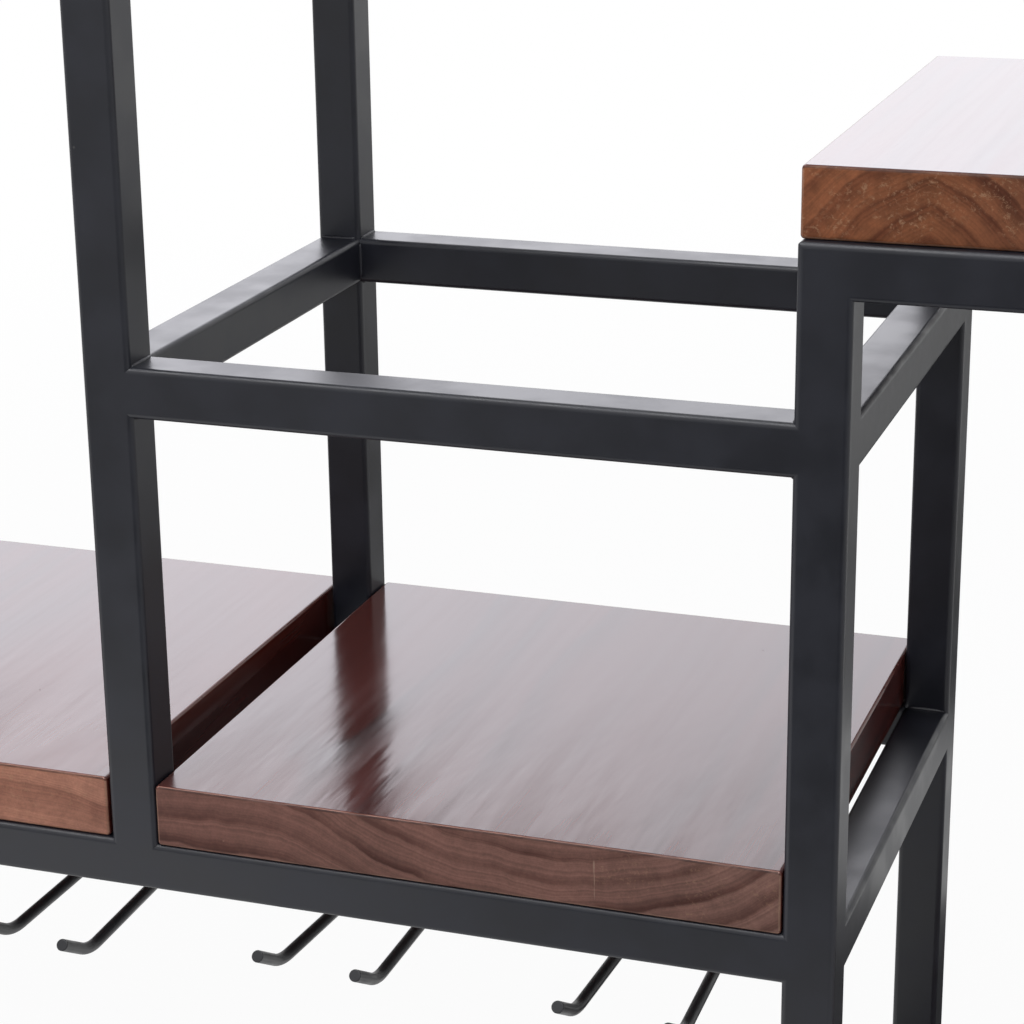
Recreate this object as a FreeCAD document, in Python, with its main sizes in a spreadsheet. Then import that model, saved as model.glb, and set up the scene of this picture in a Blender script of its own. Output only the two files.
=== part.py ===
"""Wall wine rack: a welded frame of square steel tube, screwed-on boards and bent wire stemware rods.

Frame of the part: +X to the right seen from the front, +Y into the wall, +Z up, millimetres.
The origin is on the wall plane, midway between the two wall screws of the left tower's top back rail.
"""
import FreeCAD, Part
import math
import os
import Sketcher

Vector = FreeCAD.Vector

# Driving dimensions: alias, number, meaning
SIZES = (
    ("tube", "16", "side of the square tube"),
    ("tube_wall", "1.2", "wall of the tube"),
    ("tube_corner", "1.8", "outer corner radius of the tube"),
    ("tube_bore_corner", "0.6", "inner corner radius of the tube"),
    ("mitre_round", "1.6", "ground rounding at the tip of a mitred corner"),
    ("frame_depth", "200", "wall plane to the front faces"),
    ("left_bay", "288", "clear width of the left tower"),
    ("middle_bay", "204", "clear width of the bottle bay"),
    ("right_bay", "254", "clear width of the right tower"),
    ("left_rise", "385", "lower rails to the left top rails"),
    ("guard_rise", "157.5", "lower rails to the guard rails"),
    ("right_rise", "209", "lower rails to the right top rails"),
    ("right_drop", "180", "lower rails down to the right bottom rails"),
    ("board_thick", "20.5", "thickness of every board"),
    ("board_edge", "1.2", "rounding of the board edges"),
    ("board_end_gap", "1.4", "gap between a board's end and a post"),
    ("board_touch_gap", "0.2", "gap at the end that is pushed up to its post"),
    ("front_setback", "0.2", "front of the bottle bay's board behind the frame's front"),
    ("lower_setback", "1.4", "front of the other lower boards behind the frame's front"),
    ("top_setback", "3.2", "front of the top boards behind the frame's front"),
    ("wall_hole", "6.5", "diameter of the wall screw holes"),
    ("left_hole_spacing", "200", "wall holes in the left top back rail"),
    ("right_hole_spacing", "180", "wall holes in the right top back rail"),
    ("screw_shank", "4", "diameter of the board screws"),
    ("screw_head", "7.6", "diameter of the screw heads"),
    ("screw_head_height", "1.2", "height of the low screw heads"),
    ("screw_bite", "13", "depth of the screws in the wood"),
    ("screw_point", "3.5", "length of the screws' points"),
    ("screw_inset", "65", "screws from the ends of their board"),
    ("screw_clearance", "0.5", "screw holes in the tube over the shank"),
    ("pilot_clearance", "0.1", "pilot holes in the wood over the shank and its point"),
    ("rod_wire", "4", "diameter of the stemware rods"),
    ("rod_gap", "32.5", "centre distance of the two rods of a pair"),
    ("rod_pitch", "101.5", "centre distance of neighbouring pairs"),
    ("rod_drop", "27.5", "underside of the rails to the centre of the rods"),
    ("rod_lap", "12", "lap of a rod's leg on the lower back rail"),
    ("rod_bend", "9", "bend at the foot of a rod's leg"),
    ("tip_bend", "10", "bend at the start of a rod's tip"),
    ("tip_angle", "31", "rise of a rod's tip in degrees"),
    ("tip_length", "17.5", "straight part of a rod's tip"),
    ("tip_reach", "1", "end of a rod's tip in front of the frame"),
    ("weld_gap", "0.05", "rod's leg to the rail that it is welded to"),
)
ROD_PAIRS = 5

doc = FreeCAD.newDocument("wall_wine_rack")
sheet = doc.addObject("Spreadsheet::Sheet", "Sizes")
for row, (alias, number, meaning) in enumerate(SIZES, start=1):
    sheet.set(f"A{row}", alias)
    sheet.set(f"B{row}", number)
    sheet.set(f"C{row}", meaning)
    sheet.setAlias(f"B{row}", alias)
doc.recompute()

# Post centre lines, from left to right
HALF_TUBE = "Sizes.tube / 2"
LEFT_OUTER_X = "-Sizes.left_bay / 2 - Sizes.tube / 2"
LEFT_INNER_X = "Sizes.left_bay / 2 + Sizes.tube / 2"
RIGHT_INNER_X = "Sizes.left_bay / 2 + Sizes.middle_bay + Sizes.tube * 3 / 2"
RIGHT_OUTER_X = "Sizes.left_bay / 2 + Sizes.middle_bay + Sizes.right_bay + Sizes.tube * 5 / 2"

# Rail centre lines, front and back, and their levels
FRONT_Y = "-Sizes.frame_depth + Sizes.tube / 2"
BACK_Y = "-Sizes.tube / 2"
LEFT_TOP_Z = "0"
LOWER_Z = "-Sizes.left_rise"
GUARD_Z = "Sizes.guard_rise - Sizes.left_rise"
RIGHT_TOP_Z = "Sizes.right_rise - Sizes.left_rise"
RIGHT_BOTTOM_Z = "-Sizes.left_rise - Sizes.right_drop"

# Tube directions: local Z runs along the tube, local X points to the short side of its mitres
UP_SHORT_RIGHT = FreeCAD.Rotation(Vector(1, 0, 0), Vector(0, 1, 0), Vector(0, 0, 1), "ZXY")
UP_SHORT_LEFT = FreeCAD.Rotation(Vector(-1, 0, 0), Vector(0, -1, 0), Vector(0, 0, 1), "ZXY")
RIGHT_SHORT_DOWN = FreeCAD.Rotation(Vector(0, 0, -1), Vector(0, -1, 0), Vector(1, 0, 0), "ZXY")
RIGHT_SHORT_UP = FreeCAD.Rotation(Vector(0, 0, 1), Vector(0, 1, 0), Vector(1, 0, 0), "ZXY")
BACKWARDS = FreeCAD.Rotation(Vector(1, 0, 0), Vector(0, 0, -1), Vector(0, 1, 0), "ZXY")

sub_parts = []


def value(expression):
    """The number that an expression in the sheet's sizes stands for."""
    return float(sheet.evalExpression(expression))


def plus(*terms):
    """Sum of expressions, each kept in brackets."""
    return " + ".join(f"({term})" for term in terms)


def minus(first, second):
    """Difference of two expressions."""
    return f"({first}) - ({second})"


def new_body(label):
    """An empty body that becomes one file of the part."""
    body = doc.addObject("PartDesign::Body", label)
    body.Label = label
    sub_parts.append(body)
    return body


def place(body, x, y, z, rotation=None):
    """Put a body's own origin at a point given by expressions."""
    body.Placement = FreeCAD.Placement(Vector(0, 0, 0), rotation or FreeCAD.Rotation())
    body.setExpression("Placement.Base.x", x)
    body.setExpression("Placement.Base.y", y)
    body.setExpression("Placement.Base.z", z)


def origin_feature(body, role):
    """One of a body's own origin planes or axes."""
    return next(feature for feature in body.Origin.OriginFeatures if feature.Role == role)


def new_sketch(body, name, plane):
    """A sketch on one of a body's origin planes."""
    sketch = body.newObject("Sketcher::SketchObject", f"{body.Name}_{name}")
    sketch.AttachmentSupport = [(origin_feature(body, plane), "")]
    sketch.MapMode = "FlatFace"
    return sketch


def drive(sketch, expression, kind, *where):
    """Add a dimension to a sketch and tie it to an expression in the sheet's sizes."""
    number = value(expression)
    if kind == "Angle":
        number = math.radians(number)
    index = sketch.addConstraint(Sketcher.Constraint(kind, *where, number))
    sketch.setExpression(f"Constraints[{index}]", expression)


def sketch_line(sketch, start, end):
    """Add a line to a sketch and give its number."""
    return sketch.addGeometry(Part.LineSegment(start, end))


def add_polygon(sketch, corners):
    """A closed outline through corner points given as pairs of expressions."""
    points = [Vector(value(x), value(y), 0) for x, y in corners]
    first = sketch.GeometryCount
    count = len(points)
    for i in range(count):
        sketch_line(sketch, points[i], points[(i + 1) % count])
    for i in range(count):
        following = first + (i + 1) % count
        sketch.addConstraint(Sketcher.Constraint("Coincident", first + i, 2, following, 1))
    for i, (x, y) in enumerate(corners):
        drive(sketch, x, "DistanceX", -1, 1, first + i, 1)
        drive(sketch, y, "DistanceY", -1, 1, first + i, 1)


def add_circle(sketch, x, y, diameter):
    """A circle at a point given by expressions."""
    centre = Vector(value(x), value(y), 0)
    circle = sketch.addGeometry(Part.Circle(centre, Vector(0, 0, 1), value(diameter) / 2))
    drive(sketch, diameter, "Diameter", circle)
    drive(sketch, x, "DistanceX", -1, 1, circle, 3)
    drive(sketch, y, "DistanceY", -1, 1, circle, 3)


def add_rounded_square(sketch, side, radius):
    """A square about the sketch's origin, with four equal round corners."""
    half = value(side) / 2
    round_off = value(radius)
    straight = half - round_off
    first = sketch.GeometryCount
    for quarter in range(4):
        turn = FreeCAD.Rotation(Vector(0, 0, 1), 90 * quarter)
        start = turn.multVec(Vector(-straight, -half, 0))
        end = turn.multVec(Vector(straight, -half, 0))
        centre = turn.multVec(Vector(straight, -straight, 0))
        circle = Part.Circle(centre, Vector(0, 0, 1), round_off)
        from_angle = math.radians(90 * quarter - 90)
        sketch.addGeometry(Part.LineSegment(start, end))
        sketch.addGeometry(Part.ArcOfCircle(circle, from_angle, from_angle + math.pi / 2))
    for quarter in range(4):
        line = first + 2 * quarter
        arc = line + 1
        next_line = first + 2 * ((quarter + 1) % 4)
        sketch.addConstraint(Sketcher.Constraint("Tangent", line, 2, arc, 1))
        sketch.addConstraint(Sketcher.Constraint("Tangent", arc, 2, next_line, 1))
        sketch.addConstraint(Sketcher.Constraint("Vertical" if quarter % 2 else "Horizontal", line))
        if quarter:
            sketch.addConstraint(Sketcher.Constraint("Equal", first + 1, arc))
    bottom, right, top, left = (first + 2 * quarter for quarter in range(4))
    sketch.addConstraint(Sketcher.Constraint("Symmetric", bottom, 1, top, 1, -1, 1))
    drive(sketch, radius, "Radius", first + 1)
    drive(sketch, side, "DistanceY", bottom, 1, top, 1)
    drive(sketch, side, "DistanceX", left, 1, right, 1)


def add_mitre(sketch, along):
    """What one end of a tube loses: a 45 degree mitre, and the ground rounding at its tip.

    along turns a distance from the tube's end into a distance from its start.
    """
    outer = f"-{HALF_TUBE}"
    eased = "Sizes.mitre_round"
    tip = "Sizes.mitre_round * (1 - sqrt(2) / 2)"
    corners = (
        (outer, along(eased)),
        (outer, along("0")),
        (HALF_TUBE, along("0")),
        (HALF_TUBE, along("Sizes.tube")),
        (plus(outer, tip), along(tip)),
    )
    points = [Vector(value(x), value(y), 0) for x, y in corners]
    first = sketch.GeometryCount
    for start, end in zip(points, points[1:]):
        sketch_line(sketch, start, end)
    last = first + len(points) - 2
    centre = (plus(outer, eased), along(eased))
    middle = Vector(value(centre[0]), value(centre[1]), 0)
    circle = Part.Circle(middle, Vector(0, 0, 1), value(eased))
    at_start = points[-1].y < middle.y
    from_angle = math.pi if at_start else math.pi * 3 / 4
    arc = sketch.addGeometry(Part.ArcOfCircle(circle, from_angle, from_angle + math.pi / 4))
    for line in range(first, last):
        sketch.addConstraint(Sketcher.Constraint("Coincident", line, 2, line + 1, 1))
    sketch.addConstraint(Sketcher.Constraint("Coincident", arc, 1 if at_start else 2, first, 1))
    sketch.addConstraint(Sketcher.Constraint("Coincident", arc, 2 if at_start else 1, last, 2))
    for line, (x, y) in enumerate(corners[:-1], start=first):
        drive(sketch, x, "DistanceX", -1, 1, line, 1)
        drive(sketch, y, "DistanceY", -1, 1, line, 1)
    drive(sketch, corners[-1][0], "DistanceX", -1, 1, last, 2)
    drive(sketch, centre[0], "DistanceX", -1, 1, arc, 3)
    drive(sketch, centre[1], "DistanceY", -1, 1, arc, 3)


def cut_through(body, sketch):
    """Cut a sketch right through its body, both ways from the sketch's plane."""
    pocket = body.newObject("PartDesign::Pocket", f"{sketch.Name}_cut")
    pocket.Profile = sketch
    pocket.Type = "ThroughAll"
    pocket.SideType = "Symmetric"
    return pocket


def make_tube(label, length, rotation, start, mitres=(), board_holes=(), wall_holes=()):
    """A hollow square tube that starts at a point and runs along its local Z.

    mitres names the ends cut at 45 degrees. board_holes and wall_holes are distances along the tube
    of upright holes for board screws and of level holes for wall screws.
    """
    body = new_body(label)
    section = new_sketch(body, "section", "XY_Plane")
    add_rounded_square(section, "Sizes.tube", "Sizes.tube_corner")
    add_rounded_square(section, "Sizes.tube - 2 * Sizes.tube_wall", "Sizes.tube_bore_corner")
    pad = body.newObject("PartDesign::Pad", f"{label}_length")
    pad.Profile = section
    pad.setExpression("Length", length)
    if mitres:
        mitre = new_sketch(body, "mitre", "XZ_Plane")
        if "start" in mitres:
            add_mitre(mitre, lambda distance: distance)
        if "end" in mitres:
            add_mitre(mitre, lambda distance: minus(length, distance))
        cut_through(body, mitre)
    if board_holes:
        upright = new_sketch(body, "board_holes", "YZ_Plane")
        for along in board_holes:
            add_circle(upright, "0", along, "Sizes.screw_shank + Sizes.screw_clearance")
        cut_through(body, upright)
    if wall_holes:
        level = new_sketch(body, "wall_holes", "XZ_Plane")
        for along in wall_holes:
            add_circle(level, "0", along, "Sizes.wall_hole")
        cut_through(body, level)
    place(body, *start, rotation)
    return body


def make_board(label, left, right, setback, rail_z):
    """A board on the rails, with rounded edges and pilot holes for its screws in the underside."""
    length = minus(right, left)
    width = f"Sizes.frame_depth - {setback}"
    body = new_body(label)
    outline = new_sketch(body, "outline", "XY_Plane")
    add_polygon(outline, (("0", "0"), (length, "0"), (length, width), ("0", width)))
    pad = body.newObject("PartDesign::Pad", f"{label}_thickness")
    pad.Profile = outline
    pad.setExpression("Length", "Sizes.board_thick")
    doc.recompute()
    edges = body.newObject("PartDesign::Fillet", f"{label}_edges")
    edges.Base = pad
    edges.UseAllEdges = True
    edges.setExpression("Radius", "Sizes.board_edge")
    doc.recompute()
    pilots = new_sketch(body, "pilots", "XY_Plane")
    for along in screw_columns("0", length):
        for deep in (plus(FRONT_Y, width), plus(BACK_Y, width)):
            add_circle(pilots, along, deep, "Sizes.screw_shank + Sizes.pilot_clearance")
    holes = body.newObject("PartDesign::Pocket", f"{label}_pilot_holes")
    holes.Profile = pilots
    holes.Reversed = True
    holes.setExpression("Length", "Sizes.screw_bite + Sizes.pilot_clearance")
    place(body, left, f"-({width})", plus(rail_z, HALF_TUBE))
    return body


def screw_columns(left, right):
    """Where a board's screws stand between its left and right ends."""
    return plus(left, "Sizes.screw_inset"), minus(right, "Sizes.screw_inset")


def make_screws(label, left, right, rail_z):
    """Four pan-head screws that come up through the rails into a board: one turned, then repeated."""
    shank = "Sizes.screw_shank / 2"
    head = "Sizes.screw_head / 2"
    rim = "Sizes.screw_head_height / 3"
    top = "Sizes.tube + Sizes.screw_bite"
    body = new_body(label)
    profile = new_sketch(body, "profile", "XZ_Plane")
    add_polygon(profile, (
        ("0", "-Sizes.screw_head_height"),
        (f"{head} - Sizes.screw_head_height / 2", "-Sizes.screw_head_height"),
        (head, f"-{rim}"),
        (head, "0"),
        (shank, "0"),
        (shank, minus(top, "Sizes.screw_point")),
        ("0", top),
    ))
    screw = body.newObject("PartDesign::Revolution", f"{label}_turned")
    screw.Profile = profile
    screw.ReferenceAxis = (profile, ["V_Axis"])
    screw.Angle = 360
    doc.recompute()
    first, last = screw_columns(left, right)
    repeat = body.newObject("PartDesign::LinearPattern", f"{label}_repeat")
    repeat.Originals = [screw]
    repeat.Direction = (origin_feature(body, "X_Axis"), [""])
    repeat.Occurrences = 2
    repeat.setExpression("Length", minus(last, first))
    repeat.Direction2 = (origin_feature(body, "Y_Axis"), [""])
    repeat.Occurrences2 = 2
    repeat.setExpression("Length2", minus(BACK_Y, FRONT_Y))
    body.Tip = repeat
    place(body, first, FRONT_Y, minus(rail_z, HALF_TUBE))
    return body


def make_rod(label, x):
    """A stemware rod: a leg on the inside of the lower back rail, a level run and a tip bent up."""
    fall = "Sizes.rod_lap + Sizes.rod_drop"
    leg_y = "-Sizes.tube - Sizes.weld_gap - Sizes.rod_wire / 2"
    run = plus("Sizes.frame_depth + Sizes.tip_reach", leg_y)
    body = new_body(label)
    path = new_sketch(body, "path", "YZ_Plane")
    depth = value(fall)
    bend = value("Sizes.rod_bend")
    curl = value("Sizes.tip_bend")
    rise = math.radians(value("Sizes.tip_angle"))
    tip = value("Sizes.tip_length")
    tip_end = Vector(-value(run), curl * (1 - math.cos(rise)) + tip * math.sin(rise) - depth, 0)
    tip_start = tip_end + Vector(math.cos(rise), -math.sin(rise), 0) * tip
    curl_start = Vector(tip_start.x + curl * math.sin(rise), -depth, 0)
    down = -math.pi / 2
    foot = Part.Circle(Vector(-bend, bend - depth, 0), Vector(0, 0, 1), bend)
    lift = Part.Circle(Vector(curl_start.x, curl - depth, 0), Vector(0, 0, 1), curl)
    leg_line = sketch_line(path, Vector(0, 0, 0), Vector(0, bend - depth, 0))
    foot_arc = path.addGeometry(Part.ArcOfCircle(foot, down, 0))
    run_line = sketch_line(path, Vector(-bend, -depth, 0), curl_start)
    lift_arc = path.addGeometry(Part.ArcOfCircle(lift, down - rise, down))
    tip_line = sketch_line(path, tip_start, tip_end)
    path.addConstraint(Sketcher.Constraint("Coincident", leg_line, 1, -1, 1))
    path.addConstraint(Sketcher.Constraint("Vertical", leg_line))
    path.addConstraint(Sketcher.Constraint("Tangent", leg_line, 2, foot_arc, 2))
    path.addConstraint(Sketcher.Constraint("Tangent", foot_arc, 1, run_line, 1))
    path.addConstraint(Sketcher.Constraint("Horizontal", run_line))
    path.addConstraint(Sketcher.Constraint("Tangent", run_line, 2, lift_arc, 2))
    path.addConstraint(Sketcher.Constraint("Tangent", lift_arc, 1, tip_line, 1))
    drive(path, "Sizes.rod_bend", "Radius", foot_arc)
    drive(path, "Sizes.tip_bend", "Radius", lift_arc)
    drive(path, fall, "DistanceY", run_line, 1, leg_line, 1)
    drive(path, run, "DistanceX", tip_line, 2, leg_line, 1)
    drive(path, "Sizes.tip_length", "Distance", tip_line)
    drive(path, "Sizes.tip_angle", "Angle", tip_line, 2, run_line, 2)
    wire = new_sketch(body, "wire", "XY_Plane")
    add_circle(wire, "0", "0", "Sizes.rod_wire")
    pipe = body.newObject("PartDesign::AdditivePipe", f"{label}_bent")
    pipe.Profile = wire
    pipe.Spine = (path, [f"Edge{i}" for i in range(1, 6)])
    place(body, x, leg_y, plus(LOWER_Z, f"Sizes.rod_lap - {HALF_TUBE}"))
    return body


def from_start(rail_start, columns):
    """Distances along a rail of points given across the part."""
    return [minus(column, rail_start) for column in columns]


# Ends of the boards: between the posts on the lower levels, over the posts on the top levels
LEFT_TOP_ENDS = (minus(LEFT_OUTER_X, HALF_TUBE), plus(LEFT_INNER_X, HALF_TUBE))
LEFT_ENDS = (plus(LEFT_OUTER_X, HALF_TUBE, "Sizes.board_end_gap"),
             minus(LEFT_INNER_X, f"{HALF_TUBE} + Sizes.board_end_gap"))
MIDDLE_ENDS = (plus(LEFT_INNER_X, HALF_TUBE, "Sizes.board_touch_gap"),
               minus(RIGHT_INNER_X, f"{HALF_TUBE} + Sizes.board_end_gap"))
RIGHT_TOP_ENDS = (minus(RIGHT_INNER_X, HALF_TUBE), plus(RIGHT_OUTER_X, HALF_TUBE))
RIGHT_BOTTOM_ENDS = (plus(RIGHT_INNER_X, HALF_TUBE, "Sizes.board_end_gap"),
                     minus(RIGHT_OUTER_X, f"{HALF_TUBE} + Sizes.board_end_gap"))

# Boards and their screws
make_board("left_top_board", *LEFT_TOP_ENDS, "Sizes.top_setback", LEFT_TOP_Z)
make_board("left_board", *LEFT_ENDS, "Sizes.lower_setback", LOWER_Z)
make_board("middle_board", *MIDDLE_ENDS, "Sizes.front_setback", LOWER_Z)
make_board("right_top_board", *RIGHT_TOP_ENDS, "Sizes.top_setback", RIGHT_TOP_Z)
make_board("right_bottom_board", *RIGHT_BOTTOM_ENDS, "Sizes.lower_setback", RIGHT_BOTTOM_Z)
make_screws("left_top_board_screws", *LEFT_TOP_ENDS, LEFT_TOP_Z)
make_screws("left_board_screws", *LEFT_ENDS, LOWER_Z)
make_screws("middle_board_screws", *MIDDLE_ENDS, LOWER_Z)
make_screws("right_top_board_screws", *RIGHT_TOP_ENDS, RIGHT_TOP_Z)
make_screws("right_bottom_board_screws", *RIGHT_BOTTOM_ENDS, RIGHT_BOTTOM_Z)

# Posts and rails of the front and the back frame
LEFT_START, LEFT_END = LEFT_TOP_ENDS
RIGHT_START, RIGHT_END = RIGHT_TOP_ENDS
LEFT_WIDTH = minus(LEFT_END, LEFT_START)
RIGHT_WIDTH = minus(RIGHT_END, RIGHT_START)
RIGHT_HEIGHT = "Sizes.right_rise + Sizes.right_drop + Sizes.tube"
RIGHT_FOOT_Z = minus(RIGHT_BOTTOM_Z, HALF_TUBE)
RIGHT_MIDDLE = f"({plus(RIGHT_INNER_X, RIGHT_OUTER_X)}) / 2"
LEFT_WALL_HOLES = ("-Sizes.left_hole_spacing / 2", "Sizes.left_hole_spacing / 2")
RIGHT_WALL_HOLES = (minus(RIGHT_MIDDLE, "Sizes.right_hole_spacing / 2"),
                    plus(RIGHT_MIDDLE, "Sizes.right_hole_spacing / 2"))
LOWER_SCREWS = screw_columns(*LEFT_ENDS) + screw_columns(*MIDDLE_ENDS)
BOTH_ENDS = ("start", "end")

for side, rail_y in (("front", FRONT_Y), ("back", BACK_Y)):
    make_tube(f"left_outer_post_{side}", "Sizes.left_rise + Sizes.tube", UP_SHORT_RIGHT,
              (LEFT_OUTER_X, rail_y, minus(LOWER_Z, HALF_TUBE)), BOTH_ENDS)
    make_tube(f"left_inner_post_{side}", "Sizes.left_rise", UP_SHORT_LEFT,
              (LEFT_INNER_X, rail_y, plus(LOWER_Z, HALF_TUBE)), ("end",))
    make_tube(f"right_inner_post_{side}", RIGHT_HEIGHT, UP_SHORT_RIGHT,
              (RIGHT_INNER_X, rail_y, RIGHT_FOOT_Z), BOTH_ENDS)
    make_tube(f"right_outer_post_{side}", RIGHT_HEIGHT, UP_SHORT_LEFT,
              (RIGHT_OUTER_X, rail_y, RIGHT_FOOT_Z), BOTH_ENDS)
    left_wall_holes = LEFT_WALL_HOLES if side == "back" else ()
    right_wall_holes = RIGHT_WALL_HOLES if side == "back" else ()
    make_tube(f"left_top_rail_{side}", LEFT_WIDTH, RIGHT_SHORT_DOWN,
              (LEFT_START, rail_y, LEFT_TOP_Z), BOTH_ENDS,
              from_start(LEFT_START, screw_columns(*LEFT_TOP_ENDS)),
              from_start(LEFT_START, left_wall_holes))
    make_tube(f"lower_rail_{side}", minus(RIGHT_START, LEFT_START), RIGHT_SHORT_UP,
              (LEFT_START, rail_y, LOWER_Z), ("start",),
              from_start(LEFT_START, LOWER_SCREWS))
    make_tube(f"guard_rail_{side}", "Sizes.middle_bay", RIGHT_SHORT_UP,
              (plus(LEFT_INNER_X, HALF_TUBE), rail_y, GUARD_Z))
    make_tube(f"right_top_rail_{side}", RIGHT_WIDTH, RIGHT_SHORT_DOWN,
              (RIGHT_START, rail_y, RIGHT_TOP_Z), BOTH_ENDS,
              from_start(RIGHT_START, screw_columns(*RIGHT_TOP_ENDS)),
              from_start(RIGHT_START, right_wall_holes))
    make_tube(f"right_bottom_rail_{side}", RIGHT_WIDTH, RIGHT_SHORT_UP,
              (RIGHT_START, rail_y, RIGHT_BOTTOM_Z), BOTH_ENDS,
              from_start(RIGHT_START, screw_columns(*RIGHT_BOTTOM_ENDS)))

# Ties from the front frame to the back frame
TIES = (
    ("left_top_tie_outer", LEFT_OUTER_X, LEFT_TOP_Z),
    ("left_top_tie_inner", LEFT_INNER_X, LEFT_TOP_Z),
    ("lower_tie_outer", LEFT_OUTER_X, LOWER_Z),
    ("lower_tie_inner", LEFT_INNER_X, LOWER_Z),
    ("lower_tie_right", RIGHT_INNER_X, LOWER_Z),
    ("guard_side_left", LEFT_INNER_X, GUARD_Z),
    ("guard_side_right", RIGHT_INNER_X, GUARD_Z),
    ("right_top_tie_inner", RIGHT_INNER_X, RIGHT_TOP_Z),
    ("right_top_tie_outer", RIGHT_OUTER_X, RIGHT_TOP_Z),
    ("right_bottom_tie_inner", RIGHT_INNER_X, RIGHT_BOTTOM_Z),
    ("right_bottom_tie_outer", RIGHT_OUTER_X, RIGHT_BOTTOM_Z),
)
for tie_label, tie_x, tie_z in TIES:
    make_tube(tie_label, "Sizes.frame_depth - 2 * Sizes.tube", BACKWARDS,
              (tie_x, plus(FRONT_Y, HALF_TUBE), tie_z))

# Stemware rods, in pairs spread evenly between the left outer and the right inner posts
rod_row_middle = f"({plus(LEFT_OUTER_X, RIGHT_INNER_X)}) / 2"
for pair in range(1, ROD_PAIRS + 1):
    steps = pair - (ROD_PAIRS + 1) / 2
    pair_x = plus(rod_row_middle, f"Sizes.rod_pitch * {steps}")
    make_rod(f"glass_rod_{pair}_left", minus(pair_x, "Sizes.rod_gap / 2"))
    make_rod(f"glass_rod_{pair}_right", plus(pair_x, "Sizes.rod_gap / 2"))

doc.recompute()

# Every object has to be sound before anything is written
for item in doc.Objects:
    if "Invalid" in item.State or "Error" in item.State:
        raise RuntimeError(f"{item.Label} failed: {item.State}")
for body in sub_parts:
    if body.Shape.isNull() or not body.Shape.isValid():
        raise RuntimeError(f"{body.Label} has no sound shape")

os.makedirs("parts", exist_ok=True)
for body in sub_parts:
    body.Shape.exportStep(os.path.join("parts", f"{body.Label}.step"))
    print(f"{body.Label}: {len(body.Shape.Solids)} solids, {body.Shape.Volume / 1000:.2f} cm3")
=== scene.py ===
"""Looks of the wall wine rack: coated tubes, welds, varnished boards, screws, stemware rods and studio."""

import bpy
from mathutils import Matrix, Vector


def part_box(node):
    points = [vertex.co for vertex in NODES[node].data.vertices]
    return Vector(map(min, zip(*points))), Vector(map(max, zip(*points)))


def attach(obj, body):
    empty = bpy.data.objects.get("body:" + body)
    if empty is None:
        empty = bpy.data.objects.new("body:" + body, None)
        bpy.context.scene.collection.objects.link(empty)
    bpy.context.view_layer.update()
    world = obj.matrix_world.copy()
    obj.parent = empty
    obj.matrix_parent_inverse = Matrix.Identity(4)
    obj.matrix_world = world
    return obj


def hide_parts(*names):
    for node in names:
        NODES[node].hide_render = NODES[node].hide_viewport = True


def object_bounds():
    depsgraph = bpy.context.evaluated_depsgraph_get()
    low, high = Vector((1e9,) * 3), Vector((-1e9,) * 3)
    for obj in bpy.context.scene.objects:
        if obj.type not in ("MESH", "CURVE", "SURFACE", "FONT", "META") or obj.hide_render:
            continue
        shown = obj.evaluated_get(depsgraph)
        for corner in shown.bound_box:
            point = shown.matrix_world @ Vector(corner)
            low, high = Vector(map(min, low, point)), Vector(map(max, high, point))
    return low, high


bl_info = {
    "name": "Wall Wine Rack",
    "version": (1, 0, 0),
    "blender": (4, 5, 0),
    "location": "3D View > Sidebar > Wine Rack",
    "description": "Dresses the wall wine rack: coat, welds, boards, screws, stemware rods and studio",
    "category": "Object",
}

import math
from typing import NamedTuple

import bmesh
import bpy
from bpy.props import FloatProperty, FloatVectorProperty, IntProperty, PointerProperty
from mathutils import Matrix, Vector

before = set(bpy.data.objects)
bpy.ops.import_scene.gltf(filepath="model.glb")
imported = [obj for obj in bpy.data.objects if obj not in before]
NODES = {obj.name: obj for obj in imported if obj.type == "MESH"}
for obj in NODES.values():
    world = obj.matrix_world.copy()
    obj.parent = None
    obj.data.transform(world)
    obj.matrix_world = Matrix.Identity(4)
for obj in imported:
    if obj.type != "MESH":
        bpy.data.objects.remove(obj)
CAD_BOX = [list(corner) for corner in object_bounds()]
NODE_SLOTS = {name: node.material_slots[0].name.split(".")[0] for name, node in NODES.items()}
BODY = "root"
MM = 0.001

# Section of the tube, as the frame's own nodes have it
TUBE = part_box("lower_tie_right")[1].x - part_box("lower_tie_right")[0].x
TUBE_CORNER = 1.8 * MM

# How finely round shapes are divided
CORNER_STEPS = 6
EDGE_STEPS = 5
CUT_STEPS = 3
BEAD_POINTS = 15
BEAD_SIDES = 10
BEND_STEPS = 10
WIRE_SIDES = 24
SCREW_SIDES = 28

# Creases that are steeper stay sharp
WELD_CREASE = math.radians(40)
SCREW_CREASE = math.radians(35)

# Orange peel of the coats, per metre, and the roughness and eased cut of the rods
TUBE_PEEL = 900.0
ROD_PEEL = 1400.0
ROD_ROUGHNESS = 0.34
ROD_CUT = 0.3 * MM

# Ends that butt against another tube: node, axis that it runs along, and the way its end faces
BUTT_ENDS = (
    [(f"guard_rail_{side}", 0, way) for side in ("front", "back") for way in (-1, 1)]
    + [(f"lower_rail_{side}", 0, 1) for side in ("front", "back")]
    + [(f"left_inner_post_{side}", 2, -1) for side in ("front", "back")]
    + [(name, 1, way) for name in sorted(NODES) if "_tie_" in name for way in (-1, 1)]
    + [(f"guard_side_{side}", 1, way) for side in ("left", "right") for way in (-1, 1)]
)


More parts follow.
